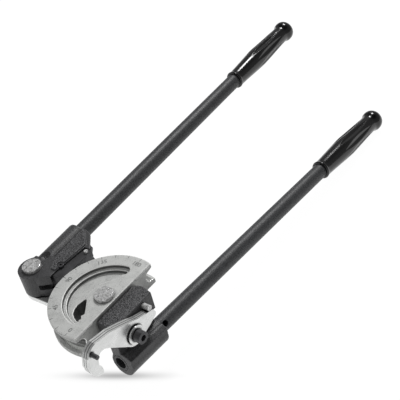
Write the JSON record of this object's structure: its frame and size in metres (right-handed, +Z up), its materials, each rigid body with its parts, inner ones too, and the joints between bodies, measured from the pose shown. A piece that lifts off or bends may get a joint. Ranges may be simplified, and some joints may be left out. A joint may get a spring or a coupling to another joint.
{
  "type": "tube bender",
  "caption": "Hand lever tube bender: grooved half-round die, forming shoe on a swinging handle, laminated hook that holds the tube, and a fixed handle.",
  "frame": {"origin": "centre of the flat top of the centre pin's head, on the axis that the die is round about", "axes": "+Z up along the pins, +X along the die's flat towards the grips, +Y from the die towards the clevis pin"},
  "size_m": [0.7202, 0.2358, 0.1387],
  "materials": {
    "cast_aluminium": "as cast, fine speckle, satin",
    "black_casting": "pebbled black casting, satin",
    "bar_paint": "dark grey textured paint, matt",
    "zinc_plate": "bright zinc plate, satin",
    "pin_steel": "rough machined steel, satin",
    "black_oxide": "black oxide, satin",
    "bearing_bronze": "sintered bronze, satin",
    "black_vinyl": "moulded black vinyl, gloss"
  },
  "bodies": {
    "fixed_handle": {"bending_die": "cast_aluminium", "lower_casting": "black_casting", "centre_pin": "pin_steel", "centre_pin_washer": "zinc_plate", "centre_pin_clip": "black_oxide", "thrust_washer": "bearing_bronze", "die_screw_left": "black_oxide", "die_screw_right": "black_oxide", "stop_pin": "pin_steel", "hook_bolt": "black_oxide", "hook_spring_washer": "black_oxide", "hook_washer": "zinc_plate", "hook_sleeve": "pin_steel", "lower_bar": "bar_paint", "lower_bar_pin": "pin_steel", "lower_grip": "black_vinyl"},
    "link": {"link_strap": "zinc_plate", "link_bush": "bearing_bronze", "clevis_pin": "pin_steel", "clevis_washer": "zinc_plate", "clevis_clip": "black_oxide"},
    "forming_handle": {"upper_head": "black_casting", "head_bush": "bearing_bronze", "forming_shoe": "black_oxide", "shoe_screw": "black_oxide", "shoe_stop_screw": "pin_steel", "upper_bar": "bar_paint", "upper_bar_pin": "pin_steel", "upper_grip": "black_vinyl"},
    "hook": {"hook_plate_back": "zinc_plate", "hook_plate_middle": "zinc_plate", "hook_plate_front": "zinc_plate", "finger_pin": "black_oxide", "plate_rivet_claw": "pin_steel", "plate_rivet_tail": "pin_steel"}
  },
  "joints": [
    {"name": "link_swing", "type": "hinge", "parent": "fixed_handle", "child": "link", "pos_m": [0, 0, -0.0433], "axis": [0, 0, 1], "range_deg": [-90, 90]},
    {"name": "handle_swing", "type": "hinge", "parent": "link", "child": "forming_handle", "pos_m": [-0.0065, 0.121, -0.0219], "axis": [0, 0, 1], "range_deg": [0, 120]},
    {"name": "hook_lift", "type": "hinge", "parent": "fixed_handle", "child": "hook", "pos_m": [-0.0143, -0.0485, -0.0304], "axis": [0, 1, 0], "range_deg": [0, 30]}
  ]
}
